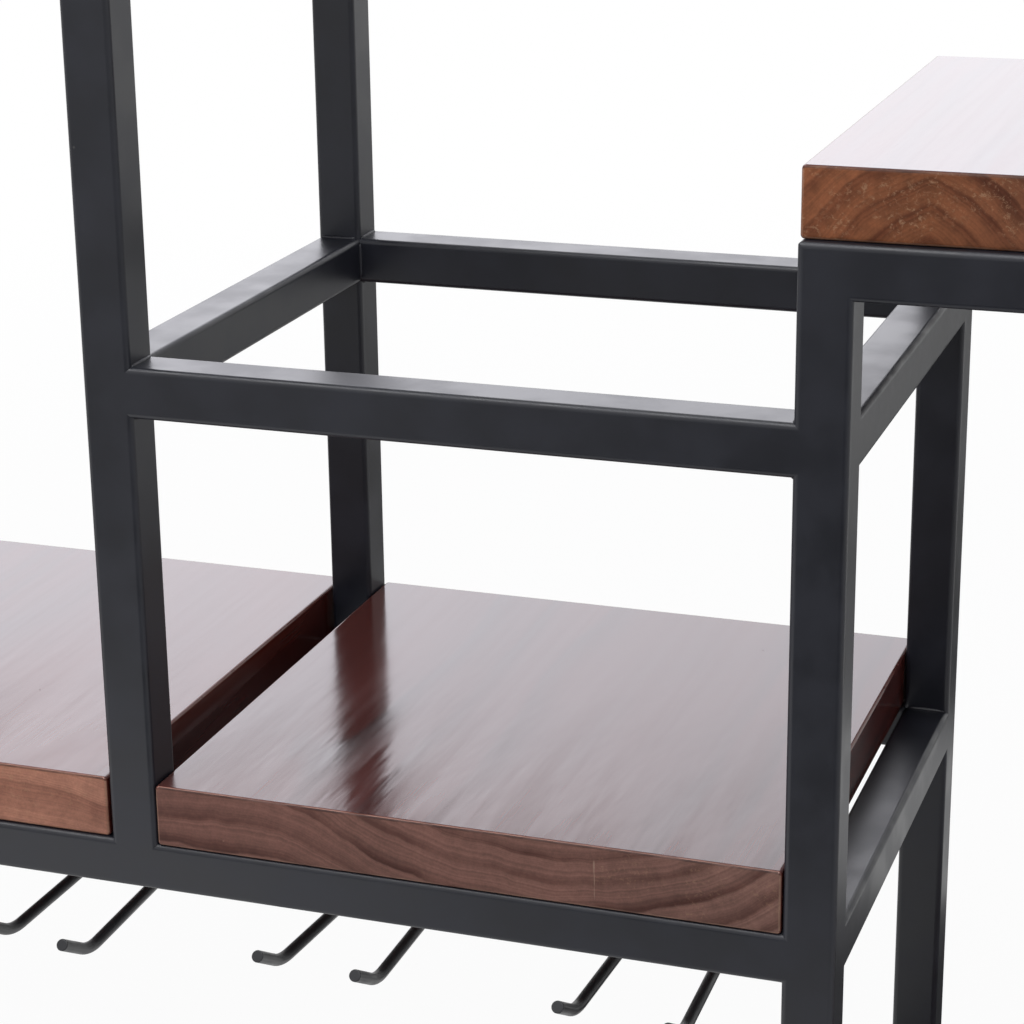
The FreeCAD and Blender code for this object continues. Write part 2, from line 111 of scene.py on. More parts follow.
class Stave(NamedTuple):
    """One strip of an edge-glued board. Lengths are in metres, in the rack's own frame."""

    right: float      # right edge, where the next strip is glued on
    heart_x: float    # centre of the growth rings
    heart_z: float
    rings: float      # ring spacing
    phase: float      # shifts the rings
    stain: tuple      # how much lighter than the plain stain, in red, green and blue
    torn: float       # how wide the dark bands are and how torn the end grain is, 0 to 1
    glue: bool = False    # whether a pale glue line shows at its right edge


PLAIN = (1.00, 1.00, 1.00)
DEEP = (0.88, 0.86, 0.86)
PALE = (2.31, 2.32, 2.02)
AMBER = (1.60, 1.24, 0.68)
RUSTY = (1.03, 0.80, 0.40)
GREYED = (1.24, 1.46, 1.51)

STAVES = {
    "left_top_board": (
        Stave(-0.071, -0.120, 0.120, 0.0075, 0.2, PLAIN, 0.3),
        Stave(0.042, -0.010, -0.052, 0.0085, 0.7, DEEP, 0.2),
        Stave(0.200, 0.090, 0.150, 0.0070, 0.4, RUSTY, 0.6),
    ),
    "left_board": (
        Stave(-0.064, -0.110, -0.290, 0.0080, 0.1, PLAIN, 0.3, True),
        Stave(0.036, -0.020, -0.410, 0.0070, 0.5, RUSTY, 0.5),
        Stave(0.200, 0.101, -0.551, 0.0150, 0.3, PALE, 0.6),
    ),
    "middle_board": (
        Stave(0.3062, 0.2855, -0.2563, 0.0080, 0.57, PLAIN, 0.1, True),
        Stave(0.400, 0.2855, -0.2563, 0.0080, 0.57, GREYED, 0.4),
    ),
    "right_top_board": (
        Stave(0.3996, 0.430, -0.217, 0.0078, 0.32, AMBER, 1.0),
        Stave(0.481, 0.3692, -0.217, 0.0078, 0.32, RUSTY, 1.0),
        Stave(0.575, 0.524, -0.070, 0.0082, 0.8, PLAIN, 0.5),
        Stave(0.700, 0.604, -0.260, 0.0070, 0.3, RUSTY, 0.7),
    ),
    "right_bottom_board": (
        Stave(0.456, 0.404, -0.460, 0.0078, 0.6, PLAIN, 0.3),
        Stave(0.552, 0.514, -0.640, 0.0085, 0.2, DEEP, 0.2, True),
        Stave(0.700, 0.594, -0.450, 0.0072, 0.9, RUSTY, 0.6),
    ),
}

# Place of the glue line, in metres, for a stave without one
NO_GLUE = 9.0

# How far a board's right end stands closer to its post than the source has it
END_REACH = {"middle_board": 1.0 * MM}


class RackSizes(bpy.types.PropertyGroup):
    """Sizes of the pieces that are made here."""

    bead_radius: FloatProperty(
        name="Weld bead", description="Radius of the weld beads in the frame's inner corners",
        default=0.9 * MM, min=0.2 * MM, max=2 * MM, unit="LENGTH")
    bead_ripple: FloatProperty(
        name="Bead ripple", description="How far a bead's radius varies along the weld",
        default=0.22, min=0, max=0.6, subtype="FACTOR")
    tack_radius: FloatProperty(
        name="Tack bead", description="Radius of the welds along the legs of the stemware rods",
        default=0.75 * MM, min=0.2 * MM, max=2 * MM, unit="LENGTH")
    board_edge: FloatProperty(
        name="Board edge", description="Rounding of the board edges",
        default=1.2 * MM, min=0.3 * MM, max=4 * MM, unit="LENGTH")
    screw_head: FloatProperty(
        name="Screw head", description="Diameter of the board screws' heads",
        default=7.6 * MM, min=4 * MM, max=12 * MM, unit="LENGTH")
    screw_head_height: FloatProperty(
        name="Screw head height", description="Height of the low screw heads",
        default=1.2 * MM, min=0.5 * MM, max=4 * MM, unit="LENGTH")
    screw_recess: FloatProperty(
        name="Screw recess", description="Depth of the cross recess in a screw head",
        default=1.0 * MM, min=0.5 * MM, max=2 * MM, unit="LENGTH")
    rod_bend: FloatProperty(
        name="Rod bend", description="Bend at the foot of a stemware rod's leg, at the wire's middle",
        default=9 * MM, min=3 * MM, max=20 * MM, unit="LENGTH")
    rod_bow: FloatProperty(
        name="Rod bow", description="Radius of the slight bow half way along a stemware rod",
        default=250 * MM, min=50 * MM, max=2, unit="LENGTH")
    tip_bend: FloatProperty(
        name="Tip bend", description="Bend at the start of a stemware rod's tip, at the wire's middle",
        default=20 * MM, min=3 * MM, max=30 * MM, unit="LENGTH")
    tip_rise: FloatProperty(
        name="Tip rise", description="How steeply the tip of a stemware rod rises",
        default=math.radians(31), min=0, max=1.5, unit="ROTATION")
    tip_length: FloatProperty(
        name="Tip length", description="Straight part of a stemware rod's tip",
        default=14.7 * MM, min=2 * MM, max=40 * MM, unit="LENGTH")
    pattern_seed: IntProperty(
        name="Pattern seed", description="Seed of everything that looks random",
        default=7, min=0, max=1000)


class RackFinishes(bpy.types.PropertyGroup):
    """Colours and gloss of the rack's materials."""

    frame_coat: FloatVectorProperty(
        name="Frame coat", description="Colour of the powder coat on the tubes",
        subtype="COLOR", size=3, min=0, max=1, default=(0.0095, 0.0105, 0.0168))
    frame_roughness: FloatProperty(
        name="Frame roughness", description="Roughness of the powder coat",
        default=0.34, min=0.05, max=1, subtype="FACTOR")
    rod_coat: FloatVectorProperty(
        name="Rod coat", description="Colour of the coat on the stemware rods",
        subtype="COLOR", size=3, min=0, max=1, default=(0.0150, 0.0158, 0.0195))
    early_wood: FloatVectorProperty(
        name="Early wood", description="End grain colour of the wide pale part of a growth ring",
        subtype="COLOR", size=3, min=0, max=1, default=(0.150, 0.0665, 0.0515))
    late_wood: FloatVectorProperty(
        name="Late wood", description="End grain colour of the dense dark part of a growth ring",
        subtype="COLOR", size=3, min=0, max=1, default=(0.054, 0.0165, 0.0120))
    face_early: FloatVectorProperty(
        name="Face early wood", description="Colour of the pale grain under the varnish of the faces",
        subtype="COLOR", size=3, min=0, max=1, default=(0.088, 0.0190, 0.0150))
    face_late: FloatVectorProperty(
        name="Face late wood", description="Colour of the dark grain under the varnish of the faces",
        subtype="COLOR", size=3, min=0, max=1, default=(0.046, 0.0100, 0.0078))
    # Stain rubbed thin along the boards' rounded edges, which also serves as a painted highlight on those
    # edges
    edge_rub_and_highlight: FloatVectorProperty(
        name="Rubbed edge", description="Wood colour where the stain is rubbed thin along the edges",
        subtype="COLOR", size=3, min=0, max=1, default=(0.520, 0.230, 0.165))
    varnish_ior: FloatProperty(
        name="Varnish gloss",
        description="Refractive index that sets how strongly the varnished faces mirror",
        default=1.50, min=1.2, max=2.2)
    screw_metal: FloatVectorProperty(
        name="Screw metal", description="Colour of the blackened screws",
        subtype="COLOR", size=3, min=0, max=1, default=(0.105, 0.103, 0.100))


class RackStudio(bpy.types.PropertyGroup):
    """Camera and light of the studio."""

    camera_place: FloatVectorProperty(
        name="Camera place", description="Where the camera stands, in the rack's own frame",
        subtype="TRANSLATION", size=3, default=(0.52537, -0.89792, -0.00719))
    camera_yaw: FloatProperty(
        name="Camera yaw", description="How far the camera looks to the left of straight back",
        default=0.33630, unit="ROTATION")
    camera_pitch: FloatProperty(
        name="Camera pitch", description="How far the camera looks up, below zero for down",
        default=-0.32111, unit="ROTATION")
    camera_roll: FloatProperty(
        name="Camera roll", description="Tilt of the picture",
        default=-0.01256, unit="ROTATION")
    camera_lens: FloatProperty(
        name="Lens", description="Focal length on a 36 mm wide sensor, in millimetres",
        default=94.397, min=10, max=300)
    sky_level: FloatProperty(
        name="Room light", description="Strength of the even light from all round",
        default=0.42, min=0, max=2)
    floor_tint: FloatVectorProperty(
        name="Floor", description="Colour of the pale floor",
        subtype="COLOR", size=3, min=0, max=1, default=(0.88, 0.88, 0.885))


# Node trees

class Value:
    """An output of a node, which takes plain arithmetic."""

    def __init__(self, socket):
        self.socket = socket
        self.tree = socket.id_data

    def beside(self, key):
        """Another output of the same node."""
        return Value(self.socket.node.outputs[key])

    def __add__(self, other):
        return maths("ADD", self, other)

    def __sub__(self, other):
        return maths("SUBTRACT", self, other)

    def __rsub__(self, other):
        return maths("SUBTRACT", other, self)

    def __mul__(self, other):
        return maths("MULTIPLY", self, other)

    def __truediv__(self, other):
        return maths("DIVIDE", self, other)


def fill(socket, given):
    """Set an input to a plain value, or link it to an output."""
    if isinstance(given, Value):
        given.tree.links.new(given.socket, socket)
    else:
        socket.default_value = given


def fill_all(node, inputs):
    """Fill a node's inputs, each by its name or number."""
    for key, given in inputs.items():
        fill(node.inputs[key], given)


def output(tree, kind, key=0, inputs=None, **options):
    """Add a node, set its options, fill its inputs, and give one of its outputs."""
    node = tree.nodes.new(kind)
    for option, choice in options.items():
        setattr(node, option, choice)
    fill_all(node, inputs or {})
    return Value(node.outputs[key])


def tree_of(*values):
    """The tree that the first output among some values is in."""
    return next(value.tree for value in values if isinstance(value, Value))


def maths(operation, *values):
    """Result of a Math node."""
    return output(tree_of(*values), "ShaderNodeMath", 0, dict(enumerate(values)), operation=operation)


def vector_maths(operation, inputs, key=0):
    """Result of a Vector Math node."""
    tree = tree_of(*inputs.values())
    return output(tree, "ShaderNodeVectorMath", key, inputs, operation=operation)


def step(value, low, high, to_low=0.0, to_high=1.0):
    """A smooth rise from to_low to to_high while value goes from low to high."""
    return output(value.tree, "ShaderNodeMapRange", 0, {
        "Value": value, "From Min": low, "From Max": high, "To Min": to_low, "To Max": to_high,
    }, interpolation_type="SMOOTHSTEP")


def noise(place, repeats, detail=2.0, roughness=0.5, distortion=0.0):
    """Noise of about 0 to 1, with one number of repeats per metre, or one for each axis."""
    scale = repeats
    if isinstance(repeats, tuple):
        place = vector_maths("MULTIPLY", {0: place, 1: repeats})
        scale = 1.0
    return output(place.tree, "ShaderNodeTexNoise", 0, {
        "Vector": place, "Scale": scale, "Detail": detail, "Roughness": roughness, "Distortion": distortion})


def line_noise(value, repeats, detail):
    """Noise of about 0 to 1 along a single value."""
    return output(value.tree, "ShaderNodeTexNoise", 0, {
        "W": value, "Scale": repeats, "Detail": detail}, noise_dimensions="1D")


def mix(factor, first, second, blend="MIX"):
    """Mix of two colours."""
    return output(tree_of(factor, first, second), "ShaderNodeMix", 2, {0: factor, 6: first, 7: second},
                  data_type="RGBA", blend_type=blend)


def split(vector):
    """The three parts of a vector."""
    x = output(vector.tree, "ShaderNodeSeparateXYZ", 0, {0: vector})
    return x, x.beside(1), x.beside(2)


def normal_in(tree):
    """The three parts of the surface's normal."""
    return split(output(tree, "ShaderNodeNewGeometry", "Normal"))


def attribute(tree, name):
    """A vector that is kept on a piece's mesh."""
    return output(tree, "ShaderNodeAttribute", "Vector", attribute_name=name)


def opaque(colour, share=1.0):
    """A colour, made darker or lighter, as four numbers."""
    return (*(part * share for part in colour), 1)


def new_group(name, inputs, outputs, kind="Shader", result="Float"):
    """An empty node group, its inputs as values, and its output sockets.

    Inputs are given with a default number or with the type of their socket.
    """
    tree = bpy.data.node_groups.new(name, f"{kind}NodeTree")
    for label, default in inputs.items():
        number = {int: "Int", float: "Float"}.get(type(default))
        socket_type = f"NodeSocket{number or default}"
        socket = tree.interface.new_socket(label, in_out="INPUT", socket_type=socket_type)
        if number:
            socket.default_value = default
    for label in outputs:
        tree.interface.new_socket(label, in_out="OUTPUT", socket_type=f"NodeSocket{result}")
    given = {socket.name: Value(socket) for socket in tree.nodes.new("NodeGroupInput").outputs}
    return tree, given, tree.nodes.new("NodeGroupOutput").inputs


def new_modifier(name, inputs, result):
    """An empty geometry node group that gives one geometry."""
    tree, given, out = new_group(name, inputs, [result], "Geometry", "Geometry")
    tree.is_modifier = True
    return tree, given, out[result]


def once(name, build):
    """A node group by name, built on its first use."""
    return bpy.data.node_groups.get(name) or build(name)


def place_group(group, inputs):
    """Put a node group into a material and give its outputs."""
    node = tree_of(*inputs.values()).nodes.new("ShaderNodeGroup")
    node.node_tree = group
    fill_all(node, inputs)
    return {socket.name: Value(socket) for socket in node.outputs}


# Shared surface effects

def rounded_edge_group(name):
    """How far a point is onto a rounded edge: 0 on the flats, 1 on the middle of a rounding."""
    tree, given, out = new_group(name, {"Place": "Vector", "Unevenness": 0.5}, ["Edge"])
    x, y, z = (maths("ABSOLUTE", part) for part in normal_in(tree))
    flat = maths("MAXIMUM", maths("MAXIMUM", x, y), z)
    edge = step(1.0 - flat, 0.012, 0.13)
    patches = step(noise(given["Place"], 90.0, 3.0), 0.30, 0.62)
    uneven = patches * given["Unevenness"] + (1.0 - given["Unevenness"])
    fill(out["Edge"], edge * uneven)
    return tree


def rounded_edge(place, unevenness):
    """How far a point of a piece is onto a rounded edge."""
    group = once("Rounded edge", rounded_edge_group)
    return place_group(group, {"Place": place, "Unevenness": unevenness})["Edge"]


def specks_group(name):
    """Small scattered dots, such as dust or pin holes."""
    tree, given, out = new_group(name, {
        "Place": "Vector", "Dots per metre": 150.0, "Dot size": 0.1, "Share": 0.2}, ["Dots"])
    distance = output(tree, "ShaderNodeTexVoronoi", "Distance", {
        "Vector": given["Place"], "Scale": given["Dots per metre"]})
    chance = split(distance.beside("Color"))[0]
    chosen = maths("LESS_THAN", chance, given["Share"])
    near = step(distance / given["Dot size"], 0.55, 1.0, 1.0, 0.0)
    fill(out["Dots"], chosen * near)
    return tree


def specks(place, per_metre, size, share):
    """Scattered dots on a piece."""
    return place_group(once("Specks", specks_group), {
        "Place": place, "Dots per metre": per_metre, "Dot size": size, "Share": share})["Dots"]


def coat_group(name):
    """Powder coat: cloudy mottle, and a fine orange peel for the bump."""
    tree, given, out = new_group(name, {"Place": "Vector", "Peel per metre": TUBE_PEEL}, ["Mottle", "Peel"])
    fill(out["Mottle"], step(noise(given["Place"], 45.0, 4.0), 0.3, 0.7))
    peel = noise(given["Place"], given["Peel per metre"], 2.0, 0.4)
    swell = noise(given["Place"], given["Peel per metre"] * 0.12)
    fill(out["Peel"], swell * 3.0 + peel)
    return tree


def wood_figure_group(name):
    """Growth rings round each stave's heart, fibres along the depth, and the glue line at its right edge."""
    tree, given, out = new_group(name, {
        "Place": "Vector", "Heart": "Vector", "Stave": "Vector", "Wander": 0.006,
    }, ["Late", "Fibre", "Streak", "Cloud", "Glue", "Torn", "Fine"])
    x, _, z = split(given["Place"])
    heart_x, heart_z, spacing = split(given["Heart"])
    phase, joint, torn = split(given["Stave"])
    lift = output(tree, "ShaderNodeCombineXYZ", 0, {"Z": phase})
    shift = vector_maths("ADD", {0: given["Place"], 1: lift})

    # Distance from the heart, with slow waves and ragged lines
    slow = noise(shift, (14, 4, 14))
    quick = noise(shift, (130, 16, 130), 3.0)
    wander = (slow - 0.5) * (given["Wander"] * 2.4)
    ragged = (quick - 0.5) * (given["Wander"] * 0.30)
    across = maths("SMOOTH_MAX", x - heart_x, -0.074, 0.030)
    height = z - heart_z
    radius = maths("SQRT", across * across + height * height) + wander + ragged

    # Wide and narrow years, and years with a strong or a faint dark line
    years = line_noise(radius, 85.0, 1.0)
    turn = (years - 0.5) * 0.55 + (radius / spacing + phase)
    within = maths("FRACT", turn)
    rise = maths("POWER", step(within, torn * -0.20 + 0.30, torn * -0.14 + 0.92), 2.0)
    fall = step(within, torn * -0.12 + 0.93, 1.0, 1.0, 0.0)
    ring = output(tree, "ShaderNodeTexWhiteNoise", 0, {"W": maths("FLOOR", turn)}, noise_dimensions="1D")
    patchy = step(noise(shift, (46, 8, 46), 3.0, 0.6), 0.30, 0.66, 0.45, 1.0)
    fill(out["Late"], rise * fall * ((ring * 0.50 + 0.50) * patchy))
    mottle = (noise(shift, (170, 20, 170), 4.0, 0.65) - 0.5) * torn
    fill(out["Fine"], mottle * 1.6 + line_noise(radius, 1100.0, 2.0))

    # Fibres, streaks and clouds along the depth
    fill(out["Fibre"], noise(shift, (1500, 22, 1500), 2.0, 0.6))
    fill(out["Streak"], noise(shift, (320, 7, 320), 3.0, 0.6))
    fill(out["Cloud"], noise(shift, (30, 9, 30), 3.0))

    # Broken glue line, and curled marks where the end grain is torn
    off = (quick - 0.5) * 0.0016 + maths("ABSOLUTE", x - joint)
    broken = step(noise(given["Place"], 210.0), 0.38, 0.60)
    fill(out["Glue"], step(off, 0.00005, 0.00045, 1.0, 0.0) * broken)
    patches = step(noise(shift, 75.0, 3.0), 0.44, 0.60)
    marks = step(noise(shift, (560, 50, 640), 5.0, 0.80, 0.5), 0.52, 0.64)
    fill(out["Torn"], patches * marks * torn)
    return tree


# Materials

def new_material(name):
    """A material with its shader and the piece's own coordinates."""
    material = bpy.data.materials.new(name)
    material.use_nodes = True
    place = output(material.node_tree, "ShaderNodeTexCoord", "Object")
    return material, material.node_tree.nodes["Principled BSDF"], place


def link_bump(shader, height, depth):
    """Feed a height, in units of depth, to the shader's normal."""
    fill(shader.inputs["Normal"], output(height.tree, "ShaderNodeBump", 0, {
        "Height": height, "Strength": 1.0, "Distance": depth}))


def coat_material(name, colour, roughness, peel):
    """Satin powder coat with orange peel, cloudy sheen, thin edges and a little dust."""
    material, shader, place = new_material(name)
    coat = place_group(once("Powder coat", coat_group), {"Place": place, "Peel per metre": peel})
    edge = rounded_edge(place, 0.7)
    dust = specks(place, 62.0, 0.030, 0.10)
    thin = opaque([part * 2.4 + 0.004 for part in colour])
    body = mix(coat["Mottle"], opaque(colour, 0.82), opaque(colour, 1.25))
    body = mix(edge * 0.04, body, thin)
    body = mix(dust * 0.35, body, (0.10, 0.10, 0.10, 1))
    sheen = step(coat["Mottle"], 0.0, 1.0, roughness - 0.03, roughness + 0.04)
    sheen = dust * 0.2 + (edge * 0.12 + sheen)
    fill_all(shader, {"Base Color": body, "Roughness": sheen, "Specular IOR Level": 0.43})
    link_bump(shader, coat["Peel"], 0.004 * MM)
    return material


def wood_figure(place):
    """Outputs of the wood figure for the board that the material is on."""
    return place_group(once("Wood figure", wood_figure_group), {
        "Place": place, "Heart": attribute(place.tree, "heart"), "Stave": attribute(place.tree, "stave")})


def wood_colour(figure, early, late, grain, fine, stained):
    """Stained wood. Grain, fine and stained set the contrast of the fibres, the fine rings and the staves."""
    body = mix(figure["Late"], opaque(early), opaque(late))
    fibre = step(figure["Fibre"], 0.25, 0.75, 1.0 - 0.28 * grain, 1.0 + 0.24 * grain)
    streak = step(figure["Streak"], 0.32, 0.66, 1.0 - 0.26 * grain, 1.0 + 0.16 * grain)
    cloud = step(figure["Cloud"], 0.2, 0.8, 0.84, 1.18)
    lines = step(figure["Fine"], 0.2, 0.8, 1.0 - fine, 1.0 + fine)
    level = (fibre * streak) * (cloud * lines)
    stain = mix(stained, opaque(PLAIN), attribute(level.tree, "stain"))
    return mix(1.0, body, vector_maths("SCALE", {0: stain, "Scale": level}), "MULTIPLY")


def board_face_material(finishes):
    """Varnished long grain: dark stain under a glossy clear varnish that follows the grain a little."""
    material, shader, place = new_material("varnished_face")
    figure = wood_figure(place)
    edge = rounded_edge(place, 0.75)
    pins = specks(place, 48.0, 0.028, 0.14)
    torn = split(attribute(place.tree, "stave"))[2]
    sideways = maths("ABSOLUTE", normal_in(place.tree)[0])
    depth = split(place)[1]
    body = wood_colour(figure, finishes.face_early, finishes.face_late, 0.10, 0.0, 0.25)
    # Lighter orange on the rounded edges, weaker on the sides and on torn boards: partly stain rubbed thin,
    # partly a painted highlight
    rub_and_highlight = edge * step(torn, 0.6, 0.9, 0.90, 0.05) * step(sideways, 0.10, 0.30, 1.0, 0.08)
    body = mix(rub_and_highlight, body, opaque(finishes.edge_rub_and_highlight))
    body = mix(pins * 0.8, body, (0.010, 0.006, 0.005, 1))

    # Gloss: rubbed dull in patches towards the front
    rubbed = step(noise(place, (75, 8, 75), 3.0, 0.6), 0.44, 0.58)
    rubbed = rubbed * step(depth, -0.20, -0.06, 0.10, 0.0) * step(torn, 0.6, 0.9, 1.0, 0.15)
    haze = rubbed + step(figure["Streak"], 0.35, 0.70, 0.13, 0.16)
    haze = pins * 0.4 + (edge * 0.25 + haze)
    fill_all(shader, {"Base Color": body, "Roughness": haze, "IOR": finishes.varnish_ior})

    # Brushed waves and strokes, stronger towards the front
    waves = noise(place, (48, 13, 48), 3.0, 0.56) * step(depth, -0.20, -0.04, 3.0, 0.6)
    strokes = noise(place, (190, 26, 190)) * step(depth, -0.18, -0.09, 0.95, 0.0)
    height = waves + strokes + figure["Streak"] * 0.04 + figure["Fibre"] * 0.006
    link_bump(shader, height, 0.10 * MM)
    return material


def board_end_material(finishes):
    """Sanded end grain: clear growth rings, pale flecks, glue lines, edges where the stain is rubbed, and a
    painted dark shade line where the edges turn upwards.
    """
    material, shader, place = new_material("varnished_end")
    figure = wood_figure(place)
    edge = rounded_edge(place, 0.85)
    flecks = specks(place, 300.0, 0.14, 0.05)
    body = wood_colour(figure, finishes.early_wood, finishes.late_wood, 0.32, 0.16, 1.0)
    body = mix(flecks * 0.18, body, (0.40, 0.26, 0.18, 1))
    body = mix(figure["Torn"] * 0.48, body, (0.42, 0.25, 0.145, 1))
    body = mix(figure["Glue"] * 0.55, body, (0.36, 0.25, 0.19, 1))
    # Rim of the rounded edges: pale where the stain is rubbed, and a painted dark shade line where the
    # rounding faces upwards
    upward = normal_in(place.tree)[2]
    rim = mix(step(upward, 0.02, 0.16), (0.38, 0.235, 0.165, 1), (0.030, 0.0095, 0.0075, 1))
    body = mix(edge * step(upward, 0.02, 0.16, 0.45, 0.75), body, rim)
    haze = step(figure["Fibre"], 0.3, 0.7, 0.38, 0.52)
    fill_all(shader, {"Base Color": body, "Roughness": haze, "Specular IOR Level": 0.18})
    link_bump(shader, figure["Late"] * 0.12 + figure["Fibre"] * 0.30, 0.03 * MM)
    return material


def screw_material(finishes):
    """Blackened steel with turning marks, and bright metal where the driver has rubbed the edges."""
    material, shader, place = new_material("screw_metal")
    marks = noise(place, (2600, 2600, 9000))
    cloud = noise(place, 700.0, 3.0)
    body = mix(step(cloud, 0.35, 0.65), opaque(finishes.screw_metal, 0.7), opaque(finishes.screw_metal))
    body = mix(rounded_edge(place, 0.8) * 0.35, body, (0.42, 0.41, 0.40, 1))
    haze = step(marks, 0.3, 0.7, 0.26, 0.44)
    fill_all(shader, {"Base Color": body, "Roughness": haze, "Metallic": 1.0})
    link_bump(shader, marks, 0.01 * MM)
    return material


def studio_mix(light, backdrop, share):
    """Mix a lit surface with a white backdrop for rays that come from the camera, a gloss or a glass."""
    seen = output(light.tree, "ShaderNodeLightPath", "Is Camera Ray")
    gloss, glass = seen.beside("Is Glossy Ray"), seen.beside("Is Transmission Ray")
    seen = maths("MAXIMUM", maths("MAXIMUM", seen, gloss), glass)
    return output(light.tree, "ShaderNodeMixShader", 0, {0: seen * share, 1: light, 2: backdrop})


# Pieces

def add_object(name, data):
    """A new object in the scene."""
    made = bpy.data.objects.new(name, data)
    bpy.context.scene.collection.objects.link(made)
    return made


def new_piece(name, mesh, slot, *materials):
    """A finished piece at the origin, riding on the rack, with its materials."""
    piece = add_object(name, mesh)
    for material in materials:
        mesh.materials.append(material)
    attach(piece, BODY)
    return piece


def nodes_with(slot):
    """Names of the frame's nodes that have a material slot of the record."""
    return sorted(name for name, own in NODE_SLOTS.items() if own == slot)


def give_material(name, material):
    """Put a material on one of the frame's nodes."""
    for slot in NODES[name].material_slots:
        slot.link = "OBJECT"
        slot.material = material


def axis_vector(axis, way=1.0):
    """Unit vector along an axis."""
    made = Vector((0, 0, 0))
    made[axis] = way
    return made


def butt_end(name, axis, way):
    """Middle of a tube's end face and its way out."""
    low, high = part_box(name)
    middle = (low + high) / 2
    middle[axis] = high[axis] if way > 0 else low[axis]
    return middle, axis_vector(axis, way)


def inside(point, box, margin=0.0):
    """Whether a point is in a box that is grown by a margin."""
    low, high = box
    return all(low[i] - margin <= point[i] <= high[i] + margin for i in range(3))


def rounded_square(side, radius, steps):
    """Corner points of a square with round corners, counter-clockwise about its middle."""
    straight = side / 2 - radius
    points = []
    for quarter in range(4):
        middle = Matrix.Rotation(quarter * math.pi / 2, 2) @ Vector((straight, straight))
        for i in range(steps + 1):
            angle = (quarter + i / steps) * math.pi / 2
            points.append(middle + radius * Vector((math.cos(angle), math.sin(angle))))
    return points


def bridge(bm, lower, upper, smooth):
    """Faces between two rings of points, where a ring may be a single point."""
    count = max(len(lower), len(upper))
    for i in range(count):
        j = (i + 1) % count
        corners = [lower[i % len(lower)], lower[j % len(lower)],
                   upper[j % len(upper)], upper[i % len(upper)]]
        bm.faces.new(list(dict.fromkeys(corners))).smooth = smooth


def add_plug(bm, middle, out, length):
    """Filled weld: the tube's own section carried on into the rounded corner of the tube that it meets."""
    other = Vector((0, 0, 1)) if abs(out.z) < 0.5 else Vector((1, 0, 0))
    across = other.cross(out)
    section = [across * p.x + other * p.y for p in rounded_square(TUBE, TUBE_CORNER, CORNER_STEPS)]
    start = [bm.verts.new(middle + p) for p in section]
    end = [bm.verts.new(middle + p + out * length) for p in section]
    bridge(bm, start, end, True)
    bm.faces.new(end)
    bm.faces.new(list(reversed(start)))


def bead_lines():
    """Inner corners of the frame where a tube's side meets a face: end points of each bead."""
    tubes = [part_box(name) for name in nodes_with("frame_coat")]
    boards = [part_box(name) for name in nodes_with("varnished_wood")]
    reach = 1.2 * MM
    past_side = 3 * MM
    half_length = TUBE / 2 - TUBE_CORNER * 0.7
    lines = []
    for name, axis, way in BUTT_ENDS:
        middle, out = butt_end(name, axis, way)
        for side_axis in (i for i in range(3) if i != axis):
            half = axis_vector(3 - axis - side_axis) * half_length
            for side_way in (-1, 1):
                side = axis_vector(side_axis, side_way)
                corner = middle + side * TUBE / 2
                beyond = corner + side * past_side + out * TUBE / 2
                touch = corner + (side - out) * reach * 0.6
                meets = any(inside(beyond, box) for box in tubes)
                if meets and not any(inside(touch, box, reach * 0.4) for box in boards):
                    lines.append((corner - half, corner + half))
    return lines


def tack_lines():
    """Welds along both sides of each stemware rod's leg, on the lower back rail."""
    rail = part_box("lower_rail_back")[0]
    inset, foot, head = 0.55 * MM, 2.2 * MM, 0.8 * MM
    lines = []
    for name in nodes_with("rod_coat"):
        low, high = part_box(name)
        for x in (low.x + inset, high.x - inset):
            lines.append((Vector((x, rail.y, rail.z + foot)), Vector((x, rail.y, high.z - head))))
    return lines


def loose_mesh(name, points, edges=()):
    """A mesh of points and loose edges."""
    mesh = bpy.data.meshes.new(name)
    mesh.from_pydata([tuple(point) for point in points], list(edges), [])
    return mesh


def evaluated(name, mesh, kind, settings, inputs):
    """Plain copy of a mesh as one modifier leaves it."""
    holder = add_object(f"{name}_source", mesh)
    modifier = holder.modifiers.new("Shape", kind)
    for key, choice in settings.items():
        setattr(modifier, key, choice)
    for key, given in inputs.items():
        modifier[key] = given
    bpy.context.view_layer.update()
    graph = bpy.context.evaluated_depsgraph_get()
    made = bpy.data.meshes.new_from_object(holder.evaluated_get(graph))
    made.name = name
    holder.modifiers.remove(modifier)
    bpy.data.objects.remove(holder)
    if not made.polygons:
        raise RuntimeError(f"{name} came out empty")
    return made


def grown_mesh(name, source, tree, inputs):
    """Plain mesh that a geometry node tree makes from a source mesh."""
    sockets = [item for item in tree.interface.items_tree if item.item_type == "SOCKET"]
    given = {item.identifier: inputs[item.name] for item in sockets
             if item.in_out == "INPUT" and item.name in inputs}
    return evaluated(name, source, "NODES", {"node_group": tree}, given)


def weight_normals(mesh):
    """Copy of a mesh whose flats stay flat and whose roundings shade smoothly."""
    settings = {"weight": 100, "mode": "FACE_AREA", "keep_sharp": True}
    return evaluated(mesh.name, mesh, "WEIGHTED_NORMAL", settings, {})


def close_mesh(bm, mesh):
    """Merge doubles, turn faces outwards and store a mesh."""
    bmesh.ops.remove_doubles(bm, verts=bm.verts, dist=1e-6)
    bmesh.ops.recalc_face_normals(bm, faces=bm.faces)
    bm.to_mesh(mesh)
    bm.free()


def sweep(curve, ring, scale=1.0):
    """Closed skin of a ring that runs along a curve."""
    return output(curve.tree, "GeometryNodeCurveToMesh", 0, {
        "Curve": curve, "Profile Curve": ring, "Scale": scale, "Fill Caps": True})


def realize(geometry, material, socket):
    """End of a geometry tree: real geometry with its material."""
    real = output(geometry.tree, "GeometryNodeRealizeInstances", 0, {0: geometry})
    painted = output(geometry.tree, "GeometryNodeSetMaterial", 0, {"Geometry": real, "Material": material})
    fill(socket, painted)


